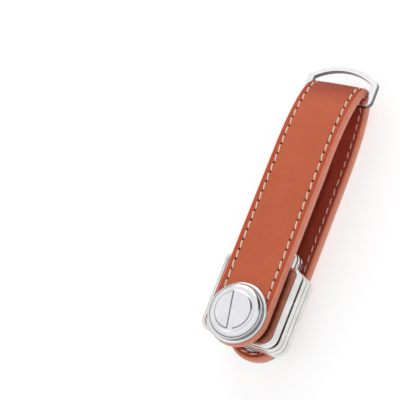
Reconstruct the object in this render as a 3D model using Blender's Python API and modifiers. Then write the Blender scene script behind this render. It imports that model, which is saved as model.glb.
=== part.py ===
"""Key organiser: a folded leather strap, four keys on a screw post, and a D-ring in the fold.

The strap runs along +X, folded over at the D-ring, with both of its ends on the post. The post
stands on +Z, and the origin is where its axis meets the surface that the organiser lies on.
All sizes are in metres.
"""

import math

import bmesh
import bpy

MM = 0.001
FIT_GAP = 0.3 * MM  # between pieces that are fastened together
SLIDE_GAP = 0.2 * MM  # between the layers that turn on the post
PLATE_GAP = 0.2 * MM  # between the flanges, the leather and the heads of the screw and the post
CUT_PAST = 2 * MM  # how far a cutter reaches beyond the wall that it cuts

# Strap
STRAP_WIDTH = 20 * MM
LEATHER = 2.2 * MM
LINING = 0.8 * MM
STRAP_THICKNESS = LEATHER + FIT_GAP + LINING

# D-ring
RING_BAR = 2 * MM
RING_SIDE_GAP = 0.5 * MM
RING_EYE = 4.9 * MM  # from the fold to the bow of the ring, on the middle line
BOW_DROP = 3.8 * MM  # how far the bow falls back at its ends
RING_BEVEL = 0.3 * MM
RING_CORNER = 2 * MM

# Keys, measured from the middle of the hole
KEY_REACH = 58.5 * MM
KEY_WEB = 1.8 * MM
KEY_RIM_RISE = 0.3 * MM
KEY_RIM = 1.5 * MM
HEAD_BACK = 7 * MM
HEAD_FRONT = 19 * MM
HEAD_WIDTH = 26.6 * MM
HEAD_BACK_WIDTH = 26 * MM
HEAD_BACK_CORNER = 4 * MM
HEAD_FRONT_CORNER = 2.4 * MM
SHOULDER_LENGTH = 6.7 * MM
SHOULDER_WIDTH = 15 * MM
SHOULDER_CORNER = 2.4 * MM
TIP_ROUND = 0.4 * MM
BLADE_WIDTH = 8.8 * MM
BLADE_THICKNESS = 2 * MM
TIP_LONG = 5.6 * MM
TIP_SHORT = 2.2 * MM
TIP_OFFSET = 1.7 * MM
GROOVE_DEPTH = 0.55 * MM
GROOVE_WIDTH = 1.3 * MM
GROOVE_POINT = 3.9 * MM  # length of the point in which a groove ends
TOP_GROOVES = (-2.8 * MM, -0.9 * MM, 2.7 * MM)
BOTTOM_GROOVES = (-1.9 * MM, 1.5 * MM)
GROOVE_STAGGER = 1.2 * MM

# Post, screw and the layers between the leather
POST_RADIUS = 3 * MM
POST_BORE = 2 * MM
SHANK_RADIUS = POST_BORE - FIT_GAP
SHANK_LENGTH = 7 * MM
BORE_SPARE = 1 * MM
SPACER = 0.5 * MM
WIDE_SPACER = 1.5 * MM
SPRING_WASHER = 0.4 * MM
SPACER_RADIUS = 5 * MM

# Eyelets
EYELET_BORE = 4.3 * MM
EYELET_WALL = 0.6 * MM
FLANGE_RADIUS = 9.8 * MM
FLANGE = 0.6 * MM
FLANGE_ROUND = 0.25 * MM
CLINCH_WIDTH = 2 * MM

# Heads of the post and the screw
REAR_HEAD_RADIUS = 8 * MM
REAR_HEAD = 0.9 * MM
KNOB_RADIUS = 8.9 * MM
KNOB_HEIGHT = 2.2 * MM
KNOB_ROUND = 1.7 * MM
BUTTON_RADIUS = 5.8 * MM
BUTTON_FLARE = 0.8 * MM  # how much wider the raised button in the middle of the knob is at its foot
BUTTON_RISE = 0.6 * MM  # above the crest of the knob's rim
COIN_SLOT_WIDTH = 1.8 * MM
COIN_SLOT_DEPTH = 0.6 * MM
COIN_SLOT_ANGLE = math.radians(12)
KNOB_WASHER = 0.4 * MM
KNOB_WASHER_WIDTH = 2.2 * MM
KNOB_WASHER_SEAT = 0.15 * MM  # room round the washer in its groove

# How finely the round shapes are divided
TURN_STEPS = 48
CORNER_STEPS = 5
END_STEPS = 24
FOLD_STEPS = 20
BOW_STEPS = 14
SMOOTH_ANGLE = math.radians(35)
BEVEL_ANGLE = math.radians(50)

# Heights, from the resting surface upwards
REAR_FLANGE_Z = REAR_HEAD + PLATE_GAP
STRAP_BOTTOM = REAR_FLANGE_Z + FLANGE + PLATE_GAP
POCKET_FLOOR = STRAP_BOTTOM + STRAP_THICKNESS
KEYS = ("key_1", "key_2", "key_3", "key_4")
LAYERS = (
    ("back_spacer", SPACER),
    ("key_4", KEY_WEB),
    ("key_spacer_3", SPACER),
    ("key_3", KEY_WEB),
    ("key_spacer_2", SPACER),
    ("key_2", KEY_WEB),
    ("key_spacer_1", WIDE_SPACER),
    ("key_1", KEY_WEB),
    ("spring_washer", SPRING_WASHER),
)
POCKET = sum(thickness for _, thickness in LAYERS) + SLIDE_GAP * (len(LAYERS) + 1)
POCKET_ROOF = POCKET_FLOOR + POCKET
STRAP_TOP = POCKET_ROOF + STRAP_THICKNESS
MIDDLE_Z = POCKET_FLOOR + POCKET / 2
FRONT_FLANGE_Z = STRAP_TOP + PLATE_GAP
KNOB_Z = FRONT_FLANGE_Z + FLANGE + PLATE_GAP
KNOB_TOP = KNOB_Z + KNOB_HEIGHT
BARREL_TOP = STRAP_TOP - LEATHER / 2
BORE_FLOOR = BARREL_TOP - SHANK_LENGTH - BORE_SPARE

# Radii of the holes, from the pieces that go through them
EYELET_RADIUS = EYELET_BORE + EYELET_WALL
LEATHER_HOLE = EYELET_RADIUS + FIT_GAP
CLINCH_RADIUS = LEATHER_HOLE + CLINCH_WIDTH
LINING_HOLE = CLINCH_RADIUS + FIT_GAP
BOSS_RADIUS = EYELET_BORE - FIT_GAP
LAYER_HOLE = POST_RADIUS + FIT_GAP

# The fold is half an ellipse round the ring's bar, and begins just before the tips of the keys
BAR_HALF_DIAGONAL = RING_BAR / math.sqrt(2)
FOLD_TIP_RADIUS = BAR_HALF_DIAGONAL + SLIDE_GAP
FOLD_LENGTH = (POCKET / 2) ** 2 / FOLD_TIP_RADIUS
FOLD_START = KEY_REACH - TIP_LONG / 2
FOLD_INNER_X = FOLD_START + FOLD_LENGTH
FOLD_OUTER_X = FOLD_INNER_X + STRAP_THICKNESS
BAR_X = FOLD_INNER_X - BAR_HALF_DIAGONAL - FIT_GAP

for old in list(bpy.data.objects):
    bpy.data.objects.remove(old, do_unlink=True)

parts = bpy.data.collections.new("key_organiser")
cutters = bpy.data.collections.new("cutters")
for collection in (parts, cutters):
    bpy.context.scene.collection.children.link(collection)


def make_material(name, colour, metallic, roughness):
    material = bpy.data.materials.new(name)
    material.use_nodes = True
    shader = material.node_tree.nodes["Principled BSDF"]
    shader.inputs["Base Color"].default_value = (*colour, 1)
    shader.inputs["Metallic"].default_value = metallic
    shader.inputs["Roughness"].default_value = roughness
    return material


tan_leather = make_material("tan leather", (0.50, 0.13, 0.07), 0, 0.55)
dark_lining = make_material("dark lining", (0.34, 0.055, 0.032), 0, 0.7)
polished_steel = make_material("polished steel", (0.80, 0.80, 0.80), 1, 0.12)
nickel_key = make_material("nickel plated brass", (0.78, 0.78, 0.77), 1, 0.22)
spring_steel = make_material("spring steel", (0.55, 0.55, 0.56), 1, 0.35)
nylon = make_material("black nylon", (0.02, 0.02, 0.02), 0, 0.5)


def add_object(name, mesh, collection=parts):
    thing = bpy.data.objects.new(name, mesh)
    collection.objects.link(thing)
    if collection == cutters:
        thing.hide_render = True
        thing.display_type = "WIRE"
    return thing


def finish(thing, material, smooth=False):
    thing.data.materials.clear()
    thing.data.materials.append(material)
    if smooth:
        thing.data.shade_smooth()
        thing.data.set_sharp_from_angle(angle=SMOOTH_ANGLE)
    return thing


def plate(name, loops, thickness, collection=parts):
    """A flat outline, given as one closed loop and its holes, as a mesh of this thickness about z = 0."""
    outline = bpy.data.curves.new(name + "_outline", "CURVE")
    outline.dimensions = "2D"
    outline.fill_mode = "BOTH"
    outline.extrude = thickness / 2
    for loop in loops:
        spline = outline.splines.new("POLY")
        spline.points.add(len(loop) - 1)
        for point, (x, y) in zip(spline.points, loop):
            point.co = (x, y, 0, 1)
        spline.use_cyclic_u = True
    flat = bpy.data.objects.new(name + "_outline", outline)
    bpy.context.scene.collection.objects.link(flat)
    graph = bpy.context.evaluated_depsgraph_get()
    mesh = bpy.data.meshes.new_from_object(flat.evaluated_get(graph))
    bpy.data.objects.remove(flat, do_unlink=True)
    shape = bmesh.new()
    shape.from_mesh(mesh)
    bmesh.ops.remove_doubles(shape, verts=shape.verts, dist=MM / 1000)
    bmesh.ops.recalc_face_normals(shape, faces=shape.faces)
    shape.to_mesh(mesh)
    shape.free()
    return add_object(name, mesh, collection)


def turned(name, profile, collection=parts):
    """A turned piece: a profile of (radius, height) points, outer side from top to bottom, about Z."""
    mesh = bpy.data.meshes.new(name)
    ends = len(profile) - 1
    closed = profile[0][0] > 0
    edges = [(i, i + 1) for i in range(ends)] + ([(ends, 0)] if closed else [])
    mesh.from_pydata([(radius, 0, z) for radius, z in profile], edges, [])
    thing = add_object(name, mesh, collection)
    screw = thing.modifiers.new("turn", "SCREW")
    screw.steps = TURN_STEPS
    screw.render_steps = TURN_STEPS
    screw.use_merge_vertices = True
    screw.merge_threshold = MM / 1000
    return thing


def ring(name, inner, outer, low, high, collection=parts):
    """A flat washer between two radii and two heights."""
    return turned(name, [(inner, high), (outer, high), (outer, low), (inner, low)], collection)


def rod(name, radius, low, high):
    """A round cutter along Z."""
    return turned(name, [(0, high), (radius, high), (radius, low), (0, low)], cutters)


def boolean(thing, other, operation="DIFFERENCE"):
    """Cuts, joins or trims a piece by another, and keeps the result as its mesh."""
    modifier = thing.modifiers.new(other.name, "BOOLEAN")
    modifier.operation = operation
    modifier.solver = "EXACT"
    modifier.object = other
    graph = bpy.context.evaluated_depsgraph_get()
    thing.data = bpy.data.meshes.new_from_object(thing.evaluated_get(graph))
    thing.modifiers.clear()
    return thing


def arc(centre, radius, start, end, steps=CORNER_STEPS):
    """Points on a circle between two angles in degrees."""
    angles = [math.radians(start + (end - start) * i / steps) for i in range(steps + 1)]
    return [(centre[0] + radius * math.cos(a), centre[1] + radius * math.sin(a)) for a in angles]


def rounded(corners, radii):
    """A closed outline through these corners, each one rounded to its radius by an arc of points."""
    outline = []
    for i, (x, y) in enumerate(corners):
        before = corners[i - 1]
        after = corners[(i + 1) % len(corners)]
        if not radii[i]:
            outline.append((x, y))
            continue
        to_before = math.atan2(before[1] - y, before[0] - x)
        to_after = math.atan2(after[1] - y, after[0] - x)
        half = math.remainder(to_after - to_before, math.tau) / 2
        middle = to_before + half
        distance = radii[i] / math.sin(abs(half))
        centre = (x + distance * math.cos(middle), y + distance * math.sin(middle))
        sweep = math.pi / 2 - abs(half)
        turn = math.copysign(1, half)
        start = math.degrees(middle + math.pi + turn * sweep)
        end = math.degrees(middle + math.pi - turn * sweep)
        outline += arc(centre, radii[i], start, end)
    return outline


def fold_side(offset):
    """The strap's side view at a distance outside the pocket: (x, z) from the lower end to the upper."""
    end_x = -STRAP_WIDTH / 2 - CUT_PAST
    height = POCKET / 2
    side = [(end_x, -height - offset)]
    for i in range(FOLD_STEPS + 1):
        angle = math.radians(-90 + 180 * i / FOLD_STEPS)
        normal = (math.cos(angle) / FOLD_LENGTH, math.sin(angle) / height)
        push = offset / math.hypot(*normal)
        x = FOLD_START + FOLD_LENGTH * math.cos(angle) + push * normal[0]
        side.append((x, height * math.sin(angle) + push * normal[1]))
    side.append((end_x, height + offset))
    return side


def strap_layer(name, inside, outside, hole_radius):
    """One layer of the strap, between two distances outside the pocket, with its round ends and holes."""
    band = fold_side(outside) + fold_side(inside)[::-1]
    layer = plate(name, [band], STRAP_WIDTH + 2 * CUT_PAST)
    layer.rotation_euler.x = math.pi / 2
    layer.location.z = MIDDLE_Z
    half = STRAP_WIDTH / 2
    past_fold = FOLD_OUTER_X + CUT_PAST
    plan = [*arc((0, 0), half, 90, 270, END_STEPS), (past_fold, -half), (past_fold, half)]
    outline = plate(name + "_plan", [plan], STRAP_TOP + 2 * CUT_PAST, cutters)
    outline.location.z = STRAP_TOP / 2
    bpy.context.view_layer.update()
    boolean(layer, outline, "INTERSECT")
    return boolean(layer, rod(name + "_hole", hole_radius, -CUT_PAST, STRAP_TOP + CUT_PAST))


def build_strap():
    finish(strap_layer("strap_lining", 0, LINING, LINING_HOLE), dark_lining)
    finish(strap_layer("strap_leather", LINING + FIT_GAP, STRAP_THICKNESS, LEATHER_HOLE), tan_leather)


def ring_outline(start_x, half_width, bow_x, corner):
    """A loop of the ring: a straight side at start_x, two arms, and a shallow bow that peaks at bow_x."""
    bow_half = half_width - corner
    radius = (half_width**2 + BOW_DROP**2) / (2 * BOW_DROP)
    sweep = math.degrees(math.asin(bow_half / radius))
    bow = arc((bow_x - radius, 0), radius, -sweep, sweep, BOW_STEPS)
    end_x = bow_x - BOW_DROP
    corners = [(start_x, half_width), (start_x, -half_width), (end_x, -half_width), *bow, (end_x, half_width)]
    root = RING_BEVEL * 2
    return rounded(corners, [root, root, corner] + [0] * len(bow) + [corner])


def build_ring():
    """The ring lies flat in the fold, with its straight bar inside it and its bow beyond it."""
    inner_half = STRAP_WIDTH / 2 + RING_SIDE_GAP
    outer_half = inner_half + RING_BAR
    eye_x = FOLD_OUTER_X + RING_EYE - BAR_X
    outer = ring_outline(-RING_BAR / 2, outer_half, eye_x + RING_BAR, RING_CORNER)
    inner = ring_outline(RING_BAR / 2, inner_half, eye_x, RING_CORNER / 2)
    thing = plate("d_ring", [outer, inner], RING_BAR)
    thing.location = (BAR_X, 0, MIDDLE_Z)
    bevel = thing.modifiers.new("soft edges", "BEVEL")
    bevel.width = RING_BEVEL
    bevel.segments = 2
    bevel.limit_method = "ANGLE"
    bevel.angle_limit = BEVEL_ANGLE
    finish(thing, polished_steel)


def key_head(inset):
    """The outline of a key's head, drawn in by inset from its edge."""
    back = -HEAD_BACK + inset
    front = HEAD_FRONT - inset
    back_half = HEAD_BACK_WIDTH / 2 - inset
    front_half = HEAD_WIDTH / 2 - inset
    corners = [(back, -back_half), (front, -front_half), (front, front_half), (back, back_half)]
    back_corner = HEAD_BACK_CORNER - inset
    front_corner = HEAD_FRONT_CORNER - inset
    return rounded(corners, [back_corner, front_corner, front_corner, back_corner])


def key_blade():
    """The outline of the shoulder and the blade, begun inside the head, with its point off the middle."""
    root = HEAD_FRONT - KEY_RIM / 2
    shoulder = HEAD_FRONT + SHOULDER_LENGTH
    half = BLADE_WIDTH / 2
    wide = SHOULDER_WIDTH / 2
    corners = [
        (root, -wide),
        (shoulder, -wide),
        (shoulder, -half),
        (KEY_REACH - TIP_SHORT, -half),
        (KEY_REACH, -TIP_OFFSET),
        (KEY_REACH - TIP_LONG, half),
        (shoulder, half),
        (shoulder, wide),
        (root, wide),
    ]
    return rounded(corners, [0, SHOULDER_CORNER, 0, 0, TIP_ROUND, 0, 0, SHOULDER_CORNER, 0])


def groove(name, y, start, side):
    """A milled groove along the blade: it runs out past the tip, and ends in a point near the head."""
    half = GROOVE_WIDTH / 2
    end = KEY_REACH + CUT_PAST
    full = start + GROOVE_POINT
    outline = [(start, y), (full, y - half), (end, y - half), (end, y + half), (full, y + half)]
    cutter = plate(name, [outline], GROOVE_DEPTH + CUT_PAST, cutters)
    cutter.location.z = side * (BLADE_THICKNESS / 2 - GROOVE_DEPTH + (GROOVE_DEPTH + CUT_PAST) / 2)
    return cutter


def build_key_mesh():
    """One key about its own hole, with the middle of its thickness at z = 0."""
    rim_thickness = KEY_WEB + 2 * KEY_RIM_RISE
    key = plate("key_shape", [key_head(0)], rim_thickness, cutters)
    boolean(key, plate("blade_shape", [key_blade()], BLADE_THICKNESS, cutters), "UNION")
    for side in (-1, 1):
        recess = plate(f"recess_{side}", [key_head(KEY_RIM)], KEY_RIM_RISE + CUT_PAST, cutters)
        recess.location.z = side * (KEY_WEB / 2 + (KEY_RIM_RISE + CUT_PAST) / 2)
        bpy.context.view_layer.update()
        boolean(key, recess)
    for side, lines in ((1, TOP_GROOVES), (-1, BOTTOM_GROOVES)):
        for i, y in enumerate(lines):
            start = HEAD_FRONT + SHOULDER_LENGTH / 2 + i * GROOVE_STAGGER
            cutter = groove(f"groove_{side}_{i}", y, start, side)
            bpy.context.view_layer.update()
            boolean(key, cutter)
    boolean(key, rod("key_hole", LAYER_HOLE, -rim_thickness - CUT_PAST, rim_thickness + CUT_PAST))
    return key.data


def build_layers():
    """Everything on the post inside the pocket, from its floor to its roof."""
    key_mesh = build_key_mesh()
    low = POCKET_FLOOR + SLIDE_GAP
    for name, thickness in LAYERS:
        if name in KEYS:
            key = add_object(name, key_mesh.copy())
            key.location.z = low + thickness / 2
            finish(key, nickel_key)
        else:
            material = spring_steel if name == "spring_washer" else nylon
            finish(ring(name, LAYER_HOLE, SPACER_RADIUS, low, low + thickness), material, smooth=True)
        low += thickness + SLIDE_GAP


def build_eyelet(side_name, leather_z, outward):
    """A flange outside the leather, with its tube through it, and the clinch washer sunk in the lining."""
    flange_near = leather_z + outward * PLATE_GAP
    flange_far = flange_near + outward * FLANGE
    tube_end = leather_z - outward * STRAP_THICKNESS
    lining_back = leather_z - outward * (LEATHER + FIT_GAP)
    face = [
        (EYELET_BORE, tube_end),
        (EYELET_BORE, flange_far),
        (FLANGE_RADIUS - FLANGE_ROUND, flange_far),
        (FLANGE_RADIUS, flange_far - outward * FLANGE_ROUND),
        (FLANGE_RADIUS, flange_near),
        (EYELET_RADIUS, flange_near),
        (EYELET_RADIUS, tube_end),
    ]
    profile = face if outward > 0 else face[::-1]
    finish(turned(f"{side_name}_eyelet", profile), polished_steel, smooth=True)
    low = min(lining_back, tube_end)
    high = max(lining_back, tube_end)
    clinch = ring(f"{side_name}_clinch_washer", LEATHER_HOLE, CLINCH_RADIUS, low, high)
    finish(clinch, polished_steel, smooth=True)


def build_post():
    """The barrel nut: a flat head under the strap, a boss in the rear eyelet, and a bored barrel."""
    profile = [
        (0, BORE_FLOOR),
        (POST_BORE, BORE_FLOOR),
        (POST_BORE, BARREL_TOP),
        (POST_RADIUS, BARREL_TOP),
        (POST_RADIUS, POCKET_FLOOR),
        (BOSS_RADIUS, POCKET_FLOOR),
        (BOSS_RADIUS, REAR_HEAD),
        (REAR_HEAD_RADIUS, REAR_HEAD),
        (REAR_HEAD_RADIUS, FLANGE_ROUND),
        (REAR_HEAD_RADIUS - FLANGE_ROUND, 0),
        (0, 0),
    ]
    finish(turned("rear_post", profile), polished_steel, smooth=True)


def build_screw():
    """The knob and its shank, turned in one piece, with the coin slot cut across its raised button."""
    button_z = KNOB_TOP + BUTTON_RISE
    button_foot = BUTTON_RADIUS + BUTTON_FLARE
    washer_inner = BOSS_RADIUS + FIT_GAP
    washer_outer = washer_inner + KNOB_WASHER_WIDTH
    washer_top = KNOB_Z + KNOB_WASHER
    groove_inner = washer_inner - KNOB_WASHER_SEAT
    groove_outer = washer_outer + KNOB_WASHER_SEAT
    groove_top = washer_top + KNOB_WASHER_SEAT
    rim_middle = (KNOB_RADIUS - KNOB_ROUND, KNOB_TOP - KNOB_ROUND)
    foot_angle = math.degrees(math.acos((button_foot - rim_middle[0]) / KNOB_ROUND))
    profile = [
        (0, button_z),
        (BUTTON_RADIUS, button_z),
        *arc(rim_middle, KNOB_ROUND, foot_angle, 0),
        (KNOB_RADIUS, KNOB_Z),
        (groove_outer, KNOB_Z),
        (groove_outer, groove_top),
        (groove_inner, groove_top),
        (groove_inner, KNOB_Z),
        (BOSS_RADIUS, KNOB_Z),
        (BOSS_RADIUS, BARREL_TOP + FIT_GAP),
        (SHANK_RADIUS, BARREL_TOP + FIT_GAP),
        (SHANK_RADIUS, BARREL_TOP - SHANK_LENGTH),
        (0, BARREL_TOP - SHANK_LENGTH),
    ]
    screw = turned("front_screw", profile)
    bpy.ops.mesh.primitive_cube_add(size=1)
    slot = bpy.context.active_object
    slot.name = "coin_slot"
    for owner in slot.users_collection:
        owner.objects.unlink(slot)
    cutters.objects.link(slot)
    slot.hide_render = True
    slot.display_type = "WIRE"
    slot_height = COIN_SLOT_DEPTH + CUT_PAST
    slot.scale = (2 * button_foot, COIN_SLOT_WIDTH, slot_height)
    slot.rotation_euler.z = COIN_SLOT_ANGLE
    slot.location.z = button_z - COIN_SLOT_DEPTH + slot_height / 2
    bpy.context.view_layer.update()
    finish(boolean(screw, slot), polished_steel, smooth=True)
    washer = ring("knob_washer", washer_inner, washer_outer, KNOB_Z, washer_top)
    finish(washer, nylon, smooth=True)


build_strap()
build_ring()
build_layers()
build_eyelet("rear", STRAP_BOTTOM, -1)
build_eyelet("front", STRAP_TOP, 1)
build_post()
build_screw()
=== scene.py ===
# %% [markdown]
# # A key organiser: a stitched leather strap, a screw post, four keys and a D-ring
#
# The imported model gives every piece its place, its size and its motion. This script gives each
# piece the surface of the real thing, around that model, and never moves or resizes it.
#
# The first cell loads the model, and the last cell prints the size of what is shown.

# %% Load the imported model
import math

import bmesh
import bpy
import numpy as np
from mathutils import Matrix, Vector


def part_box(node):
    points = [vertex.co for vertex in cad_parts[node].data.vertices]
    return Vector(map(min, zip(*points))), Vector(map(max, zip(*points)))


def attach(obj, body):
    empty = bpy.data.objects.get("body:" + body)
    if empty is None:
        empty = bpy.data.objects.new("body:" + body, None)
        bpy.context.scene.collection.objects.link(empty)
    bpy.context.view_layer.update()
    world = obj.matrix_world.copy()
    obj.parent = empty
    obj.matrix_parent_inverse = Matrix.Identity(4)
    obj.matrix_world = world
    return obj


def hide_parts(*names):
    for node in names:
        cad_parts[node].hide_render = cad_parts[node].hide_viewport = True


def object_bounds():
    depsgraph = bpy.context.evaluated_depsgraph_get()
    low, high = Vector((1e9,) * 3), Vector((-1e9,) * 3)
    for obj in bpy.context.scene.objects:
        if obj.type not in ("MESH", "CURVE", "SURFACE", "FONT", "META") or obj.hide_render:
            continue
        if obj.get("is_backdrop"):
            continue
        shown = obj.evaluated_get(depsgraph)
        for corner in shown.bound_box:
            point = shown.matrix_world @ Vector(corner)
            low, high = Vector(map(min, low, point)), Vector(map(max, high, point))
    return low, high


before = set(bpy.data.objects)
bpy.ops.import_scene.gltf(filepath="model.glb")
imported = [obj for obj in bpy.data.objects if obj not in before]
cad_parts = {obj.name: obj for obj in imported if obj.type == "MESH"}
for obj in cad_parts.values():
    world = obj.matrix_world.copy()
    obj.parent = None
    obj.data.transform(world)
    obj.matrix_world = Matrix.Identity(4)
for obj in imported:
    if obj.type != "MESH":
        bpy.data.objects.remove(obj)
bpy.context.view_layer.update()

MM = 0.001

# %% [markdown]
# ## The sizes that every piece shares
#
# A strap is easiest to think of laid out flat on the bench. Two boxes of the frame give its width
# and thickness, and the fold follows from them: its inside is half an ellipse that just clears the
# bar of the D-ring. Working the curve out from the same facts as the model means that nothing has
# to be fitted afterwards.

# %% Sizes read from the frame
leather_low, leather_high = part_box("strap_leather")
lining_low, lining_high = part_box("strap_lining")
ring_low, ring_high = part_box("d_ring")
POCKET_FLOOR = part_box("rear_clinch_washer")[1].z
POCKET_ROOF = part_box("front_clinch_washer")[0].z
HALF_WIDTH = leather_high.y
THICKNESS = POCKET_FLOOR - leather_low.z
LINING = POCKET_FLOOR - lining_low.z
POCKET_HALF = (POCKET_ROOF - POCKET_FLOOR) / 2
MIDDLE_Z = (POCKET_ROOF + POCKET_FLOOR) / 2
SLIDE_GAP = 0.2 * MM
ring_bar = ring_high.z - ring_low.z
fold_tip_radius = ring_bar / math.sqrt(2) + SLIDE_GAP
FOLD_LENGTH = POCKET_HALF**2 / fold_tip_radius
LEG = lining_high.x - LINING - FOLD_LENGTH
print(f"strap {2 * HALF_WIDTH / MM:.1f} wide, {THICKNESS / MM:.1f} thick, straight for {LEG / MM:.1f} mm")

# %% [markdown]
# ## Bending the flat strap
#
# Leather bends without stretching at its face, so the flat length is measured along the outside
# of the fold. `wrap` takes a point of the flat strap, and its height above the pocket's wall, and
# returns where that point is once the strap is folded. The leather, the lining and every stitch go
# through the same function, which is why the stitches follow the fold with no more work.

# %% The fold
fold_angles = np.linspace(-math.pi / 2, math.pi / 2, 2001)


def lengths_along(path):
    """The distance along a path from its first point to each of its points."""
    steps = np.hypot(*np.diff(path, axis=0).T)
    return np.concatenate([[0], np.cumsum(steps)])


def fold_point(angle, height):
    """A point beside the pocket's half ellipse: the ellipse at this angle, plus height times its normal."""
    normal_x = np.cos(angle) / FOLD_LENGTH
    normal_z = np.sin(angle) / POCKET_HALF
    length = np.hypot(normal_x, normal_z)
    x = LEG + FOLD_LENGTH * np.cos(angle) + height * normal_x / length
    z = MIDDLE_Z + POCKET_HALF * np.sin(angle) + height * normal_z / length
    return x, z


fold_lengths = lengths_along(np.column_stack(fold_point(fold_angles, THICKNESS)))
FOLD_ARC = fold_lengths[-1]
FLAT_LENGTH = 2 * LEG + FOLD_ARC
print(f"flat length between the posts {FLAT_LENGTH / MM:.1f} mm, {FOLD_ARC / MM:.1f} mm of it in the fold")


def wrap(u, v, height):
    """Flat to folded: u runs from one post to the other, v across, and height out of the pocket's wall.

    The angle on the fold is looked up from the length along its outside. Before and after the
    fold, what is left of u goes straight along X.
    """
    angle = np.interp(u - LEG, fold_lengths, fold_angles)
    x, z = fold_point(angle, height)
    before = np.minimum(u - LEG, 0)
    after = np.maximum(u - LEG - FOLD_ARC, 0)
    return np.stack(np.broadcast_arrays(x + before - after, v, z), axis=-1)


# %% [markdown]
# ## Going round the strap
#
# The stitching runs round the strap like a racetrack: two straights, and a half circle about each
# post. Two numbers describe any place on the strap: how far along the seam it is, and how far out
# from the strap's middle line. The seam is divided into whole stitches, as a sewing machine's
# stitch length is set, so that it closes on itself.

# %% The racetrack
SEAM_IN = 2.3 * MM  # from the edge of the strap to the seam
STITCH = 3.35 * MM
COLUMNS_PER_STITCH = 8
seam_radius = HALF_WIDTH - SEAM_IN
quarter = math.pi / 2 * seam_radius
seam_length = 4 * quarter + 2 * FLAT_LENGTH
stitches = round(seam_length / STITCH)
pitch = seam_length / stitches
track_marks = np.cumsum([0, quarter, FLAT_LENGTH, 2 * quarter, FLAT_LENGTH, quarter])
track_turns = np.array([2, 3, 3, 5, 5, 6]) * math.pi / 2
track_places = np.array([0, 0, 1, 1, 0, 0]) * FLAT_LENGTH
print(f"seam of {stitches} stitches, {pitch / MM:.2f} mm each")


def racetrack(along, out):
    """Flat (u, v) of a place: the middle line at this length along the seam, plus out in its direction."""
    turn = np.interp(along, track_marks, track_turns)
    place = np.interp(along, track_marks, track_places)
    return place + out * np.cos(turn), out * np.sin(turn)


# %% [markdown]
# ## From arrays to meshes
#
# A surface is a grid of points: rows one way, columns the other. The faces are the same for every
# grid, so one function makes them all as arrays. It also closes the grid where its ends meet, and
# welds the points that fall together at a pole. Blender's own weld and normal tools tidy the
# result, so that each mesh is closed and faces outwards.

# %% The mesh helpers
WELD = 0.001 * MM


def grid_faces(rows, columns, close_rows, close_columns):
    """Corner numbers of each square of a grid, and the same corners counted without wrapping round."""
    last_row = rows if close_rows else rows - 1
    last_column = columns if close_columns else columns - 1
    i, j = np.meshgrid(np.arange(last_row), np.arange(last_column), indexing="ij")
    corners = ((i, j), (i + 1, j), (i + 1, j + 1), (i, j + 1))
    wrapped = [(a % rows) * columns + b % columns for a, b in corners]
    unwrapped = [a * (last_column + 1) + b for a, b in corners]
    return [np.stack(part, axis=-1).reshape(-1, 4) for part in (wrapped, unwrapped)]


def raw_mesh(name, points, faces, uv_maps=()):
    """A mesh straight from arrays: points, four-cornered faces, and (name, corner values) per UV map."""
    mesh = bpy.data.meshes.new(name)
    mesh.vertices.add(len(points))
    mesh.vertices.foreach_set("co", np.ascontiguousarray(points, np.float32).ravel())
    mesh.loops.add(faces.size)
    mesh.loops.foreach_set("vertex_index", faces.astype(np.int32).ravel())
    mesh.polygons.add(len(faces))
    mesh.polygons.foreach_set("loop_start", np.arange(0, faces.size, 4, dtype=np.int32))
    mesh.update(calc_edges=True)
    for map_name, corners in uv_maps:
        layer = mesh.uv_layers.new(name=map_name)
        layer.uv.foreach_set("vector", np.ascontiguousarray(corners, np.float32).ravel())
    return mesh


def get_points(mesh):
    """The mesh's points, one to a row."""
    points = np.empty(len(mesh.vertices) * 3, np.float32)
    mesh.vertices.foreach_get("co", points)
    return points.reshape(-1, 3).astype(float)


def set_points(mesh, points):
    """Moves the mesh's points to these rows."""
    mesh.vertices.foreach_set("co", points.astype(np.float32).ravel())


def tidy(mesh):
    """Welds the points that coincide and turns every face outwards."""
    shape = bmesh.new()
    shape.from_mesh(mesh)
    bmesh.ops.remove_doubles(shape, verts=shape.verts, dist=WELD)
    bmesh.ops.dissolve_degenerate(shape, edges=shape.edges, dist=WELD / 10)
    bmesh.ops.recalc_face_normals(shape, faces=shape.faces)
    shape.to_mesh(mesh)
    shape.free()
    mesh.shade_smooth()
    return mesh


def grid_mesh(name, grid, close_rows=False, close_columns=False, uv_maps=()):
    """A grid of points, shape (rows, columns, 3), as a closed mesh. UV grids repeat their first line."""
    rows, columns = grid.shape[:2]
    faces, unwrapped = grid_faces(rows, columns, close_rows, close_columns)
    maps = [(key, values.reshape(-1, 2)[unwrapped.ravel()]) for key, values in uv_maps]
    return tidy(raw_mesh(name, grid.reshape(-1, 3), faces, maps))


def add_piece(name, mesh, body, nodes=(), sharp=None):
    """Puts a mesh in the scene as a piece that rides on a body and stands for CAD nodes."""
    piece = bpy.data.objects.new(name, mesh)
    bpy.context.scene.collection.objects.link(piece)
    if sharp:
        mesh.set_sharp_from_angle(angle=math.radians(sharp))
    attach(piece, body)
    if nodes:
        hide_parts(*nodes)
    print(f"{name}: {len(mesh.polygons)} faces on {body}")
    return piece


# %% [markdown]
# ## The leather
#
# The strap is cut from vegetable-tanned leather, creased where the thread lies, pricked for each
# stitch, and its edge is rounded and painted. The cross profile is one line: across the face,
# round the painted edge, and back under. Carried along the racetrack, it makes the whole strap with
# its round ends in one surface. About each post the profile stops at the eyelet's hole, and walls
# close the hole. Modelling the crease and the pricked holes, and not only painting them, lets the
# thread sit down in the leather.

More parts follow.
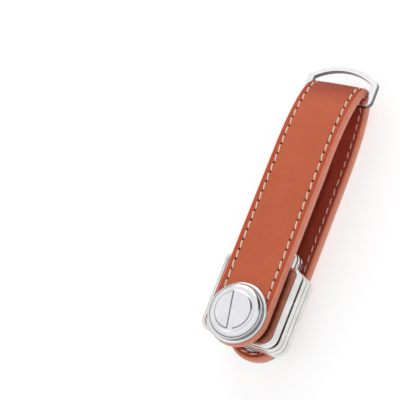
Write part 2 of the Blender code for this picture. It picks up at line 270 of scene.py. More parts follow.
# %% The leather's surface
LEATHER_HOLE = 5.2 * MM
FACE_INNER = 6.2 * MM  # inside this, the columns spread to fit the hole
EDGE_ROUND = 0.9 * MM
CREASE_DEPTH = 0.16 * MM
CREASE_WIDTH = 0.45 * MM
PRICK_DEPTH = 0.34 * MM
PRICK_WIDTH = 0.36 * MM
CROWN = 0.12 * MM
LIP = 0.06 * MM  # what the paint covers inside the pocket

columns = stitches * COLUMNS_PER_STITCH
along = np.arange(columns) * pitch / COLUMNS_PER_STITCH


def hole_limit(along, radius):
    """How far out from the middle line a post's hole reaches: half its chord, or its radius at the ends."""
    place = np.interp(along, track_marks, track_places)
    from_post = np.minimum(place, FLAT_LENGTH - place)
    return np.sqrt(np.maximum(radius**2 - from_post**2, 0))


def swell(height, out, along):
    """The hand-worked relief of the face: a crown, less a crease along the seam and a prick at each hole."""
    to_hole = (along / pitch - np.round(along / pitch)) * pitch
    across = out - seam_radius
    place = np.interp(along, track_marks, track_places)
    from_post = np.minimum(place, FLAT_LENGTH - place)
    away = np.clip((from_post - HALF_WIDTH) / HALF_WIDTH, 0, 1)
    crown = CROWN * away * np.clip(1 - (out / seam_radius) ** 2, 0, 1)
    crease = CREASE_DEPTH * np.exp(-((across / CREASE_WIDTH) ** 2))
    prick = PRICK_DEPTH * np.exp(-((across**2 + to_hole**2) / PRICK_WIDTH**2))
    return height + crown - crease - prick


face_out = np.concatenate(
    [np.linspace(0, FACE_INNER, 8), np.linspace(FACE_INNER, HALF_WIDTH - EDGE_ROUND, 14)[1:]]
)
edge_angle = np.linspace(90, -90, 15)[1:] * math.pi / 180
EDGE_POWER = 0.75  # 1 would be a round edge, less is squarer
edge_out = HALF_WIDTH - EDGE_ROUND + EDGE_ROUND * np.abs(np.cos(edge_angle)) ** EDGE_POWER
edge_height = THICKNESS / 2 + (THICKNESS / 2 - LIP) * np.sign(np.sin(edge_angle)) * (
    np.abs(np.sin(edge_angle)) ** EDGE_POWER
)
under_out = np.concatenate([[HALF_WIDTH - EDGE_ROUND - LIP] * 2, np.linspace(8, 0, 5) * MM])
under_height = np.array([LIP] + [LINING + LIP] * 6)
profile_out = np.concatenate([face_out, edge_out, under_out])
profile_height = np.concatenate([np.full(len(face_out), THICKNESS), edge_height, under_height])
profile_length = lengths_along(np.column_stack([profile_out, profile_height]))


def strap_surface(name, outs, heights, lengths, hole, spread, on_face):
    """The cross profile carried round the racetrack, with a hole about each post.

    What lies nearer the middle than spread is squeezed out to the hole's rim. Two UV maps are
    kept: "flat" is the place on the cut leather in metres, and "seam" is stitches along by
    millimetres out.
    """
    limit = hole_limit(along, hole)[:, None]
    squeezed = limit + outs * (spread - limit) / spread
    out = np.where(outs < spread, squeezed, outs)
    height = np.broadcast_to(heights, out.shape)
    height = np.where(on_face, swell(height, out, along[:, None]), height)
    u, v = racetrack(along[:, None], out)
    grid = wrap(u, v, height)

    closing = np.append(along, seam_length)[:, None]
    flat_u, flat_v = racetrack(closing, lengths)
    flat = np.stack([flat_u, flat_v], axis=-1)
    seam = np.stack(np.broadcast_arrays(closing / pitch, lengths / MM), axis=-1)

    rows, width = out.shape
    faces, unwrapped = grid_faces(rows, width, True, False)
    row = np.arange(rows)
    ahead = (row + 1) % rows
    holed = (limit[row, 0] > 0) | (limit[ahead, 0] > 0)
    row, ahead = row[holed], ahead[holed]
    first, next_first = row * width, ahead * width
    walls = np.stack([first, next_first, next_first + width - 1, first + width - 1], axis=-1)
    wall_corners = np.stack([first, first + width, first + width, first], axis=-1)
    corners = np.concatenate([unwrapped, wall_corners]).ravel()
    maps = [("flat", flat.reshape(-1, 2)[corners]), ("seam", seam.reshape(-1, 2)[corners])]
    return tidy(raw_mesh(name, grid.reshape(-1, 3), np.concatenate([faces, walls]), maps))


on_face = np.arange(len(profile_out)) < len(face_out)
leather_mesh = strap_surface(
    "leather_strap", profile_out, profile_height, profile_length, LEATHER_HOLE, FACE_INNER, on_face
)
leather_strap = add_piece("leather_strap", leather_mesh, "strap", ["strap_leather"])

# %% [markdown]
# ## The lining
#
# A thin dark lining is glued inside the strap and stops just short of the painted edge. It is the
# same surface with a simpler profile, and a wider hole, because the eyelet's clinch washer lies in it.

# %% The lining's surface
LINING_HOLE = 7.5 * MM
LINING_EDGE = HALF_WIDTH - EDGE_ROUND - 3 * LIP
LINING_ROUND = 0.12 * MM

lining_out = np.concatenate(
    [np.linspace(0, LINING_EDGE - LINING_ROUND, 9), [LINING_EDGE], [LINING_EDGE], np.linspace(8, 0, 4) * MM]
)
lining_height = np.array([0] * 9 + [LINING_ROUND, LINING - LIP] + [LINING] * 4) + 0.0
lining_length = lengths_along(np.column_stack([lining_out, lining_height]))
not_face = np.zeros(len(lining_out), bool)
lining_mesh = strap_surface(
    "strap_lining_skin", lining_out, lining_height, lining_length, LINING_HOLE, 8 * MM, not_face
)
add_piece("strap_lining_skin", lining_mesh, "strap", ["strap_lining"])

# %% [markdown]
# ## The thread
#
# Waxed thread shows as short slanting stitches, each diving into a pricked hole at both ends. One
# stitch is a tapered tube that arches over the leather. All of them are made at once, by adding the
# stitch number as one more dimension of the arrays, with small seeded differences in length, slant
# and place, because no hand or machine repeats itself exactly. They ride through `racetrack` and
# `wrap` like the leather, so they bend over the fold.

# %% The stitches
OUTER_THREAD = 0.56 * MM
INNER_THREAD = 0.36 * MM  # pulled tighter, so it shows less
STITCH_REACH = 1.5 * MM  # half the length of a stitch, with the ends that dive
STITCH_RISE = 0.34 * MM
STITCH_SLANT = math.radians(8)
THREAD_RINGS = 9
THREAD_SIDES = 8
INNER_SEAM_OUT = 0.22 * MM  # the inner row runs a little further out, clear of the clinch washers
dice = np.random.default_rng(7)


def stitch_row(name, out, height, side, thread):
    """A row of stitches of this thread, side +1 on the face and -1 in the pocket.

    Along the stitch, the radius is an ellipse and the height an upside-down parabola. A stitch is
    turned by its slant, and placed half way between two holes.
    """
    number = np.arange(stitches)[:, None, None]
    reach = STITCH_REACH * (1 + 0.04 * dice.standard_normal((stitches, 1, 1)))
    slant = STITCH_SLANT * (1 + 0.25 * dice.standard_normal((stitches, 1, 1)))
    shift = 0.04 * MM * dice.standard_normal((stitches, 1, 1))
    t = np.sin(np.linspace(-90, 90, THREAD_RINGS) * math.pi / 180)[None, :, None]
    turn = (np.arange(THREAD_SIDES) * math.tau / THREAD_SIDES)[None, None, :]
    radius = thread / 2 * np.sqrt(np.maximum(1 - t**4, 0))
    lengthwise = t * reach
    sideways = radius * np.cos(turn) + t * reach * np.tan(slant) * side + shift
    lift = STITCH_RISE * (1 - t**2) - 0.6 * STITCH_RISE + 0.8 * radius * np.sin(turn)
    place = (number + 0.5) * pitch + lengthwise
    u, v = racetrack(place, out + sideways)
    points = wrap(u, v, height + side * lift)

    faces, unwrapped = grid_faces(THREAD_RINGS, THREAD_SIDES, False, True)
    start = (np.arange(stitches) * THREAD_RINGS * THREAD_SIDES)[:, None, None]
    lengthways = np.linspace(0, 2 * STITCH_REACH / MM, THREAD_RINGS)[:, None]
    round_thread = np.linspace(0, 1, THREAD_SIDES + 1)[None, :]
    twist = np.stack(np.broadcast_arrays(lengthways, round_thread), axis=-1)
    corners = np.tile(twist.reshape(-1, 2)[unwrapped.ravel()], (stitches, 1))
    mesh = raw_mesh(name, points.reshape(-1, 3), (faces[None] + start).reshape(-1, 4), [("twist", corners)])
    return tidy(mesh)


outer_mesh = stitch_row("outer_stitches", seam_radius, THICKNESS - CREASE_DEPTH, 1, OUTER_THREAD)
outer_stitches = add_piece("outer_stitches", outer_mesh, "strap")
inner_mesh = stitch_row("inner_stitches", seam_radius + INNER_SEAM_OUT, 0, -1, INNER_THREAD)
inner_stitches = add_piece("inner_stitches", inner_mesh, "strap")

# %% [markdown]
# ## Turned hardware
#
# The post, the screw, the eyelets and every washer are turned or pressed round, so each one is a
# profile of radius and height carried round the post's axis. What makes turned metal look real is
# the small rounding that every edge has, because that is where the light catches. `fillet` gives
# each corner of a profile its own radius.

# %% Lathe and fillet
TURN_STEPS = 144


def fillet(corners, radii, steps=5):
    """A closed path through these corners: each becomes an arc that touches both of its sides."""
    corners = np.array(corners, float)
    path = []
    for k, radius in enumerate(radii):
        corner = corners[k]
        if not radius:
            path.append(corner[None])
            continue
        before = corners[k - 1] - corner
        after = corners[(k + 1) % len(corners)] - corner
        before = before / np.hypot(*before)
        after = after / np.hypot(*after)
        half = math.acos(float(np.clip(before @ after, -1, 1))) / 2
        middle = (before + after) / np.hypot(*(before + after))
        centre = corner + middle * radius / math.sin(half)
        spoke = corner + before * radius / math.tan(half) - centre
        finish = corner + after * radius / math.tan(half) - centre
        start = math.atan2(spoke[1], spoke[0])
        sweep = math.remainder(math.atan2(finish[1], finish[0]) - start, math.tau)
        angles = start + sweep * np.linspace(0, 1, steps + 1)
        path.append(centre + radius * np.stack([np.cos(angles), np.sin(angles)], axis=-1))
    return np.concatenate(path)


def lathe(name, profile, closed=True):
    """A profile of (radius, height) points carried round the Z axis. An open one has its ends on it."""
    angle = np.linspace(0, math.tau, TURN_STEPS, endpoint=False)[:, None]
    radius, height = profile[:, 0], profile[:, 1]
    grid = np.stack(np.broadcast_arrays(radius * np.cos(angle), radius * np.sin(angle), height), axis=-1)
    return grid_mesh(name, grid, close_rows=True, close_columns=closed)


# %% [markdown]
# ### Eyelets and washers
#
# A washer is four rounded corners. An eyelet is a dished flange with a tube through the leather.
# One loop makes the flat washers from the boxes of the CAD nodes, so each fills its own place.

# %% Washers
WASHER_ROUND = 0.12 * MM
CLINCH_BORE = LEATHER_HOLE
STACK_BORE = 3.3 * MM  # of what is threaded on the post
EYELET_BORE = 4.3 * MM
WASHERS = {
    "rear_clinch_washer": CLINCH_BORE,
    "front_clinch_washer": CLINCH_BORE,
    "back_spacer": STACK_BORE,
    "key_spacer_1": STACK_BORE,
    "key_spacer_2": STACK_BORE,
    "key_spacer_3": STACK_BORE,
    "knob_washer": EYELET_BORE,
}
washers = {}
for node, bore in WASHERS.items():
    low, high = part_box(node)
    corners = [(bore, high.z), (high.x, high.z), (high.x, low.z), (bore, low.z)]
    mesh = lathe(f"{node}_turned", fillet(corners, [WASHER_ROUND] * 4))
    body = "washer" if node == "knob_washer" else "strap"
    washers[node] = add_piece(f"{node}_turned", mesh, body, [node])

# %% [markdown]
# The spring washer is the one that isn't flat: three waves round it press the keys together, so
# that they stay where they are swung. Its height follows a cosine of three times the angle.

# %% Spring washer
SPRING_THICKNESS = 0.2 * MM
WAVES = 3
low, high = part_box("spring_washer")
wave_height = (high.z - low.z - SPRING_THICKNESS) / 2
corners = [(STACK_BORE, 0.5), (high.x, 0.5), (high.x, -0.5), (STACK_BORE, -0.5)]
flat_washer = fillet(np.array(corners) * [1, SPRING_THICKNESS], [0.07 * MM] * 4)
spring_mesh = lathe("spring_washer_waved", flat_washer)
points = get_points(spring_mesh)
round_post = np.arctan2(points[:, 1], points[:, 0])
points[:, 2] += (low.z + high.z) / 2 + wave_height * np.cos(WAVES * round_post)
set_points(spring_mesh, points)
spring_washer = add_piece("spring_washer_waved", spring_mesh, "strap", ["spring_washer"])

# %% [markdown]
# An eyelet's flange lies on the leather and hides the cut edge of the hole. The outer corner of the
# flange is rolled, so it has a much larger rounding than the rest.

# %% Eyelets
EYELET_WALL = 0.6 * MM
FLANGE = 0.6 * MM


def eyelet(node, outward):
    """A pressed eyelet: its flange at the outer end of the CAD node, its tube through to the other end."""
    low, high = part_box(node)
    far, tube_end = (high.z, low.z) if outward > 0 else (low.z, high.z)
    near = far - outward * FLANGE
    corners = [
        (EYELET_BORE, tube_end),
        (EYELET_BORE, far),
        (high.x, far),
        (high.x, near),
        (EYELET_BORE + EYELET_WALL, near),
        (EYELET_BORE + EYELET_WALL, tube_end),
    ]
    profile = fillet(corners, [0.15 * MM, 0.3 * MM, 0.42 * MM, 0.12 * MM, 0.1 * MM, 0.15 * MM], 8)
    return add_piece(f"{node}_pressed", lathe(node, profile), "strap", [node])


eyelets = [eyelet("front_eyelet", 1), eyelet("rear_eyelet", -1)]

# %% [markdown]
# ### The post and the screw
#
# The post is a barrel nut whose flat head lies under the strap. The screw has a broad knob with a
# round rim about a raised button, turned in one go, and then a coin slot is milled across the button.
# The turned shape is a profile on the lathe; the slot is cut with a Boolean, as the mill does it,
# by a bar whose section flares at the top and so leaves a small chamfer along the slot. The thread
# is a ripple in the radius that climbs one pitch in each turn.

# %% Post
POST_BORE = 2 * MM
POST_RADIUS = 3 * MM
BOSS_RADIUS = 4 * MM
REAR_HEAD = 0.9 * MM
SHANK_LENGTH = 7 * MM
FIT_GAP = 0.3 * MM

post_low, post_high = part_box("rear_post")
screw_low, screw_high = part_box("front_screw")
barrel_top = post_high.z
bore_floor = screw_low.z - 1 * MM
post_corners = [
    (0, bore_floor),
    (POST_BORE, bore_floor),
    (POST_BORE, barrel_top),
    (POST_RADIUS, barrel_top),
    (POST_RADIUS, POCKET_FLOOR),
    (BOSS_RADIUS, POCKET_FLOOR),
    (BOSS_RADIUS, REAR_HEAD),
    (post_high.x, REAR_HEAD),
    (post_high.x, 0),
    (0, 0),
]
post_radii = np.array([0, 0.2, 0.3, 0.3, 0.2, 0.2, 0.1, 0.2, 0.5, 0]) * MM
rear_post = add_piece(
    "rear_post_turned", lathe("rear_post_turned", fillet(post_corners, post_radii), False),
    "strap", ["rear_post"],
)

# %% Screw
BUTTON_RADIUS = 5.8 * MM
BUTTON_FLARE = 0.8 * MM
BUTTON_RISE = 0.6 * MM  # above the crest of the rim
BUTTON_EDGE = 0.12 * MM
COVE_ROUND = 0.6 * MM
RIM_ROUND = 1.7 * MM
SHANK_RADIUS = POST_BORE - FIT_GAP
THREAD_PITCH = 0.7 * MM
THREAD_HEIGHT = 0.18 * MM
SLOT_WIDTH = 1.8 * MM
SLOT_DEPTH = 0.6 * MM
SLOT_ANGLE = math.radians(12)
SLOT_CHAMFER = 0.1 * MM
RECESS_IN = EYELET_BORE - 0.15 * MM  # the recess under the knob, which holds its washer
RECESS_OUT = EYELET_BORE + 2.35 * MM
RECESS_DEPTH = 0.55 * MM

knob_radius = screw_high.x
knob_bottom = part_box("knob_washer")[0].z
button_z = screw_high.z
button_foot = BUTTON_RADIUS + BUTTON_FLARE
rim_middle = np.array([knob_radius - RIM_ROUND, button_z - BUTTON_RISE - RIM_ROUND])
rim_turn = np.linspace(math.acos((button_foot - rim_middle[0]) / RIM_ROUND), 0, 24)
rim = rim_middle + RIM_ROUND * np.stack([np.cos(rim_turn), np.sin(rim_turn)], axis=-1)
foot_z = rim[0, 1]
button_corners = [
    (0, button_z),
    (BUTTON_RADIUS, button_z),
    (BUTTON_RADIUS + BUTTON_FLARE / 5, foot_z + BUTTON_RISE / 8),
    (button_foot, foot_z),
]
button = fillet(button_corners, [0, BUTTON_EDGE, COVE_ROUND, 0], 8)
face_rings = np.stack([np.linspace(0, BUTTON_RADIUS - 2 * BUTTON_EDGE, 5), np.full(5, button_z)], axis=-1)
shank_z = np.linspace(barrel_top - 0.2 * MM, screw_low.z, 90)
below = fillet(
    [
        (knob_radius, knob_bottom),
        (RECESS_OUT, knob_bottom),
        (RECESS_OUT, knob_bottom + RECESS_DEPTH),
        (RECESS_IN, knob_bottom + RECESS_DEPTH),
        (RECESS_IN, knob_bottom),
        (BOSS_RADIUS, knob_bottom),
        (BOSS_RADIUS, barrel_top + FIT_GAP),
        (SHANK_RADIUS, barrel_top + FIT_GAP),
        (SHANK_RADIUS, shank_z[0]),
        (knob_radius, shank_z[0]),
    ],
    np.array([0.3, 0.1, 0.1, 0.1, 0, 0, 0.25, 0.1, 0, 0]) * MM,
)[:-1]
shank = np.stack([np.full(len(shank_z), SHANK_RADIUS), shank_z], axis=-1)
screw_profile = np.concatenate([face_rings, button[1:-1], rim, below, shank[1:], [(0, screw_low.z)]])
screw_mesh = lathe("front_screw_turned", screw_profile, False)


def cut_thread(mesh):
    """Adds the thread: a triangle wave of height less its share of the pitch, which fades at both ends."""
    points = get_points(mesh)
    radius = np.hypot(points[:, 0], points[:, 1])
    height = points[:, 2]
    turns = height / THREAD_PITCH - np.arctan2(points[:, 1], points[:, 0]) / math.tau
    wave = 1 - 4 * np.abs(turns - np.floor(turns) - 0.5)
    from_end = np.minimum(shank_z[0] - height, height - screw_low.z)
    fade = np.clip(from_end / THREAD_PITCH, 0, 1)
    on_shank = np.abs(radius - SHANK_RADIUS) < 0.01 * MM
    growth = np.where(on_shank, 1 + THREAD_HEIGHT * wave * fade / SHANK_RADIUS, 1)
    points[:, :2] *= growth[:, None]
    set_points(mesh, points)


def bar(name, section, start, end, turn):
    """A section of (across, height) points drawn out along a direction, with pointed-fan caps."""
    middle = np.tile(section.mean(axis=0), (len(section), 1))
    rows = [(middle, start), (section, start), (section, end), (middle, end)]
    grid = np.stack([np.column_stack([np.full(len(s), x), s]) for s, x in rows])
    cos, sin = math.cos(turn), math.sin(turn)
    x = grid[..., 0] * cos - grid[..., 1] * sin
    y = grid[..., 0] * sin + grid[..., 1] * cos
    return grid_mesh(name, np.stack([x, y, grid[..., 2]], axis=-1), close_columns=True)


def boolean(mesh, tool, operation):
    """The mesh cut or joined by the tool with the exact solver."""
    owner = bpy.data.objects.new("owner", mesh)
    other = bpy.data.objects.new("other", tool)
    for thing in (owner, other):
        bpy.context.scene.collection.objects.link(thing)
    modifier = owner.modifiers.new("boolean", "BOOLEAN")
    modifier.operation = operation
    modifier.solver = "EXACT"
    modifier.object = other
    graph = bpy.context.evaluated_depsgraph_get()
    made = bpy.data.meshes.new_from_object(owner.evaluated_get(graph))
    for thing in (owner, other):
        bpy.data.objects.remove(thing, do_unlink=True)
    return made


cut_thread(screw_mesh)
half_slot = SLOT_WIDTH / 2
slot_corners = [
    (-half_slot, button_z - SLOT_DEPTH),
    (half_slot, button_z - SLOT_DEPTH),
    (half_slot, button_z - SLOT_CHAMFER),
    (half_slot + SLOT_CHAMFER, button_z + 0.01 * MM),
    (half_slot + SLOT_CHAMFER, button_z + MM),
    (-half_slot - SLOT_CHAMFER, button_z + MM),
    (-half_slot - SLOT_CHAMFER, button_z + 0.01 * MM),
    (-half_slot, button_z - SLOT_CHAMFER),
]
slot_section = fillet(slot_corners, [0.2 * MM, 0.2 * MM] + [0] * 6)
slot_bar = bar("slot_bar", slot_section, -button_foot, button_foot, SLOT_ANGLE)
screw_mesh = boolean(screw_mesh, slot_bar, "DIFFERENCE")
screw_mesh.shade_smooth()
front_screw = add_piece(
    "front_screw_turned", screw_mesh, "screw", ["front_screw"], sharp=28
)

# %% [markdown]
# ## The D-ring
#
# The ring is a square bar with soft edges, bent round to a straight side, two arms and a shallow
# bow. It is one rounded square carried along a closed path, turned to face along it at each point.
# The path is resampled to even steps first, so that the metal has no dense and thin stretches.

# %% D-ring
BOW_DROP = 3.8 * MM
RING_CORNER = 1.2 * MM
RING_EDGE = 0.2 * MM
RING_STEP = 0.3 * MM

half_bar = ring_bar / 2
arm_y = ring_high.y - half_bar
bar_x = ring_low.x + half_bar
bow_x = ring_high.x - half_bar
bow_radius = (arm_y**2 + BOW_DROP**2) / (2 * BOW_DROP)
bow_sweep = math.asin((arm_y - 1.5 * RING_CORNER) / bow_radius)
bow_turn = np.linspace(-bow_sweep, bow_sweep, 25)
bow = np.stack([bow_x - bow_radius + bow_radius * np.cos(bow_turn), bow_radius * np.sin(bow_turn)], axis=-1)
arm_x = bow_x - BOW_DROP
ring_corners = [(bar_x, -arm_y), (arm_x, -arm_y), *bow, (arm_x, arm_y), (bar_x, arm_y)]
ring_radii = [RING_CORNER, RING_CORNER] + [0] * len(bow) + [RING_CORNER, RING_CORNER]
rough_path = fillet(ring_corners, ring_radii, 10)


def even_loop(path, step):
    """The same closed path with its points at even distances along it."""
    closed = np.concatenate([path, path[:1]])
    lengths = lengths_along(closed)
    places = np.linspace(0, lengths[-1], round(lengths[-1] / step), endpoint=False)
    return np.stack([np.interp(places, lengths, closed[:, k]) for k in (0, 1)], axis=-1)


ring_path = even_loop(rough_path, RING_STEP)
heading = np.roll(ring_path, -1, axis=0) - np.roll(ring_path, 1, axis=0)
heading /= np.hypot(*heading.T)[:, None]
outward = np.stack([heading[:, 1], -heading[:, 0]], axis=-1)
bar_corners = np.array([(1, 1), (-1, 1), (-1, -1), (1, -1)]) * half_bar
square = fillet(bar_corners, [RING_EDGE] * 4, 6)
flat_points = ring_path[:, None, :] + outward[:, None, :] * square[None, :, :1]
ring_heights = np.broadcast_to(MIDDLE_Z + square[None, :, 1:], (len(ring_path), len(square), 1))
ring_mesh = grid_mesh("d_ring_bent", np.concatenate([flat_points, ring_heights], axis=-1), True, True)
d_ring = add_piece("d_ring_bent", ring_mesh, "ring", ["d_ring"])

# %% [markdown]
# ## The keys
#
# The four keys are uncut blanks of the same kind: a flat head with a raised rim, a shoulder, and a
# grooved blade with a point off its middle. The head is a set of rings: each one is the outline
# drawn in by some inset, at some height, and the innermost are the hole's rim, so the grid closes on
# itself like a tyre. The blade is a section carried along X, whose top and underside dip in the
# milled grooves. The two are joined once, and the four keys are copies at their own heights.

# %% Key sizes
KEY_HOLE = STACK_BORE
BACK_CORNER = 4 * MM
FRONT_CORNER = 2.4 * MM
KEY_RIM = 1.1 * MM
RIM_RISE = 0.3 * MM
RIM_RELIEF = 0.08 * MM  # polishing takes this off each side, which opens the gaps between the keys
SHOULDER_HALF = 7.5 * MM
SHOULDER_LENGTH = 6.7 * MM
SHOULDER_ROUND = 2.4 * MM
BLADE_HALF = 4.4 * MM
BLADE_THICKNESS = 2 * MM
TIP_LONG = 5.6 * MM
TIP_SHORT = 2.2 * MM
TIP_OFFSET = -1.7 * MM
GROOVE_DEPTH = 0.55 * MM
GROOVE_WIDTH = 1.3 * MM
GROOVE_POINT = 3.9 * MM
GROOVE_STAGGER = 1.2 * MM
TOP_GROOVES = np.array([-2.8, -0.9, 2.7]) * MM
UNDER_GROOVES = np.array([-1.9, 1.5]) * MM

key_low, key_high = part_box("key_1")
key_middle = (key_low.z + key_high.z) / 2
rim_half = (key_high.z - key_low.z) / 2 - RIM_RELIEF
web_half = rim_half - RIM_RISE
head_back = -key_low.x
HEAD_FRONT = 19 * MM
head_half = key_high.y
back_half = head_half - 0.3 * MM
key_reach = key_high.x


# %% Key head
def head_outline(inset):
    """The head's outline drawn in by inset. Its corners keep their middles, so the points match."""
    back, front = -head_back + inset, HEAD_FRONT - inset
    corners = [
        (back, -back_half + inset),
        (front, -head_half + inset),
        (front, head_half - inset),
        (back, back_half - inset),
    ]
    return fillet(corners, np.array([BACK_CORNER, FRONT_CORNER, FRONT_CORNER, BACK_CORNER]) - inset, 14)


outer = head_outline(0)
closed_outer = np.concatenate([outer, outer[:1]])
outer_length = lengths_along(closed_outer)
even_places = np.linspace(0, outer_length[-1], 200, endpoint=False)
even_index = np.interp(even_places, outer_length, np.arange(len(closed_outer)))


def head_ring(inset):
    """An inset outline at the same 200 even places of the outer one."""
    outline = head_outline(inset)
    outline = np.concatenate([outline, outline[:1]])
    count = np.arange(len(outline))
    return np.stack([np.interp(even_index, count, outline[:, k]) for k in (0, 1)], axis=-1)


hole_turn = np.arctan2(*head_ring(0).T[::-1])
hole_ring = np.stack([np.cos(hole_turn), np.sin(hole_turn)], axis=-1)
half_profile = [
    (hole_ring * KEY_HOLE, web_half - 0.15 * MM),
    (hole_ring * (KEY_HOLE + 0.05 * MM), web_half - 0.05 * MM),
    (hole_ring * (KEY_HOLE + 0.15 * MM), web_half),
    (head_ring(KEY_RIM + 0.25 * MM), web_half),
    (head_ring(KEY_RIM + 0.12 * MM), web_half + 0.03 * MM),
    (head_ring(KEY_RIM + 0.04 * MM), web_half + 0.10 * MM),
    (head_ring(KEY_RIM - 0.04 * MM), web_half + 0.22 * MM),
    (head_ring(KEY_RIM - 0.12 * MM), rim_half),
    (head_ring(0.14 * MM), rim_half),
    (head_ring(0.06 * MM), rim_half - 0.02 * MM),
    (head_ring(0.02 * MM), rim_half - 0.06 * MM),
    (head_ring(0), rim_half - 0.14 * MM),
]
head_rings = half_profile + [(ring, -height) for ring, height in half_profile[::-1]]
head_columns = [np.column_stack([ring, np.full(len(ring), height)]) for ring, height in head_rings]
head_grid = np.stack(head_columns, axis=1)
head_mesh = grid_mesh("key_head", head_grid, True, True)

# %% Key blade
BLADE_EDGE = 0.18 * MM


def blade_sides(x):
    """The blade's two edges in plan: rounded shoulder, parallel blade, and the two slopes of the tip."""
    into_round = np.clip((x - HEAD_FRONT - SHOULDER_LENGTH + SHOULDER_ROUND) / SHOULDER_ROUND, 0, 1)
    shoulder = SHOULDER_HALF - SHOULDER_ROUND + SHOULDER_ROUND * np.sqrt(1 - into_round**2)
    half = np.where(x <= HEAD_FRONT + SHOULDER_LENGTH, np.maximum(shoulder, BLADE_HALF), BLADE_HALF)
    left = np.clip((x - key_reach + TIP_LONG) / TIP_LONG, 0, 1)
    right = np.clip((x - key_reach + TIP_SHORT) / TIP_SHORT, 0, 1)
    return half + (TIP_OFFSET - BLADE_HALF) * left, -half + (TIP_OFFSET + BLADE_HALF) * right


def groove_depth(x, y, lines):
    """How deep the mill has gone: full in each groove, none outside, with steep sides, a pointed start."""
    depth = np.zeros(np.broadcast(x, y).shape)
    for i, line in enumerate(lines):
        start = HEAD_FRONT + SHOULDER_LENGTH / 2 + i * GROOVE_STAGGER
        half = GROOVE_WIDTH / 2 * np.clip((x - start) / GROOVE_POINT, 0, 1)
        inside = np.clip((half - np.abs(y - line)) / (0.14 * MM) + 0.5, 0, 1) * (half > 0)
        depth = np.maximum(depth, GROOVE_DEPTH * inside)
    return depth


def blade_face(x, y, left, right, lines):
    """Half the thickness at a place on the blade, less its grooves and the rounding of its long edges."""
    to_edge = np.minimum(left - y, y - right)
    rounding = np.clip(1 - to_edge / BLADE_EDGE, 0, 1) ** 2 * BLADE_EDGE
    return np.maximum(BLADE_THICKNESS / 2 - rounding - groove_depth(x, y, lines), 0.2 * MM)


blade_start = HEAD_FRONT - KEY_RIM / 2
stations = np.concatenate(
    [
        np.linspace(blade_start, HEAD_FRONT + SHOULDER_LENGTH, 24),
        np.linspace(HEAD_FRONT + SHOULDER_LENGTH, key_reach - TIP_LONG, 50)[1:],
        key_reach - TIP_LONG * np.linspace(1, 0, 24)[1:-1] ** 1.4,
        [key_reach - 0.06 * MM],
    ]
)[:, None]
left, right = blade_sides(stations)
share = np.concatenate([np.linspace(0, 0.03, 4), np.linspace(0.03, 0.97, 64)[1:-1], np.linspace(0.97, 1, 4)])
across = right + (left - right) * share
top = blade_face(stations, across, left, right, TOP_GROOVES)
under = -blade_face(stations, across, left, right, UNDER_GROOVES)
section_y = np.concatenate([across, across[:, ::-1]], axis=1)
section_z = np.concatenate([top, under[:, ::-1]], axis=1)
section_x = np.broadcast_to(stations, section_y.shape)
blade_grid = np.stack([section_x, section_y, section_z], axis=-1)
first_cap = np.broadcast_to([blade_start, 0, 0], blade_grid[:1].shape)
last_cap = np.broadcast_to([key_reach, TIP_OFFSET, 0], blade_grid[:1].shape)
blade_grid = np.concatenate([first_cap, blade_grid, last_cap])
blade_mesh = grid_mesh("key_blade", blade_grid, close_columns=True)
key_mesh = boolean(head_mesh, blade_mesh, "UNION")
key_mesh.shade_smooth()

# %% Four keys
key_points = get_points(key_mesh)
keys = []
for number in (1, 2, 3, 4):
    low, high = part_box(f"key_{number}")
    placed = key_mesh.copy()
    set_points(placed, key_points + [0, 0, (low.z + high.z) / 2])
    node = f"key_{number}"
    keys.append(add_piece(f"key_blank_{number}", placed, node, [node], sharp=40))

# %% [markdown]
# ## Writing shaders as sums
#
# A finish is a small formula: this colour, darker where the noise is high, shinier along the edge.
# Node by node, such a formula takes a page. `Value` wraps one socket and overloads the arithmetic,
# so that an expression adds the Math nodes itself. `Finish` holds one material, and its one method
# adds any other kind of node: settings first, then what its sockets take.

# %% The shader helpers
class Value:
    """One output of a shader node. Sums, products and powers of values add Math nodes."""

    def __init__(self, finish, socket):
        self.finish = finish
        self.socket = socket

    def math(self, operation, *others):
        inputs = dict(enumerate((self, *others)))
        return self.finish.node("Math", {"operation": operation}, inputs)

    def __add__(self, other):
        return self.math("ADD", other)

    def __radd__(self, other):
        return self.math("ADD", other)

    def __sub__(self, other):
        return self.math("SUBTRACT", other)

    def __rsub__(self, other):
        return self.finish.node("Math", {"operation": "SUBTRACT"}, {0: other, 1: self})

    def __mul__(self, other):
        return self.math("MULTIPLY", other)

    def __pow__(self, other):
        return self.math("POWER", other)

    def __abs__(self):
        return self.math("ABSOLUTE")

    def step(self, low, high):
        """0 below low, 1 above high, and a smooth rise between. With low above high, it falls."""
        settings = {"interpolation_type": "SMOOTHSTEP"}
        inputs = {"Value": self, "From Min": min(low, high), "From Max": max(low, high)}
        inputs |= {"To Min": 0 if low < high else 1, "To Max": 1 if low < high else 0}
        return self.finish.node("MapRange", settings, inputs)


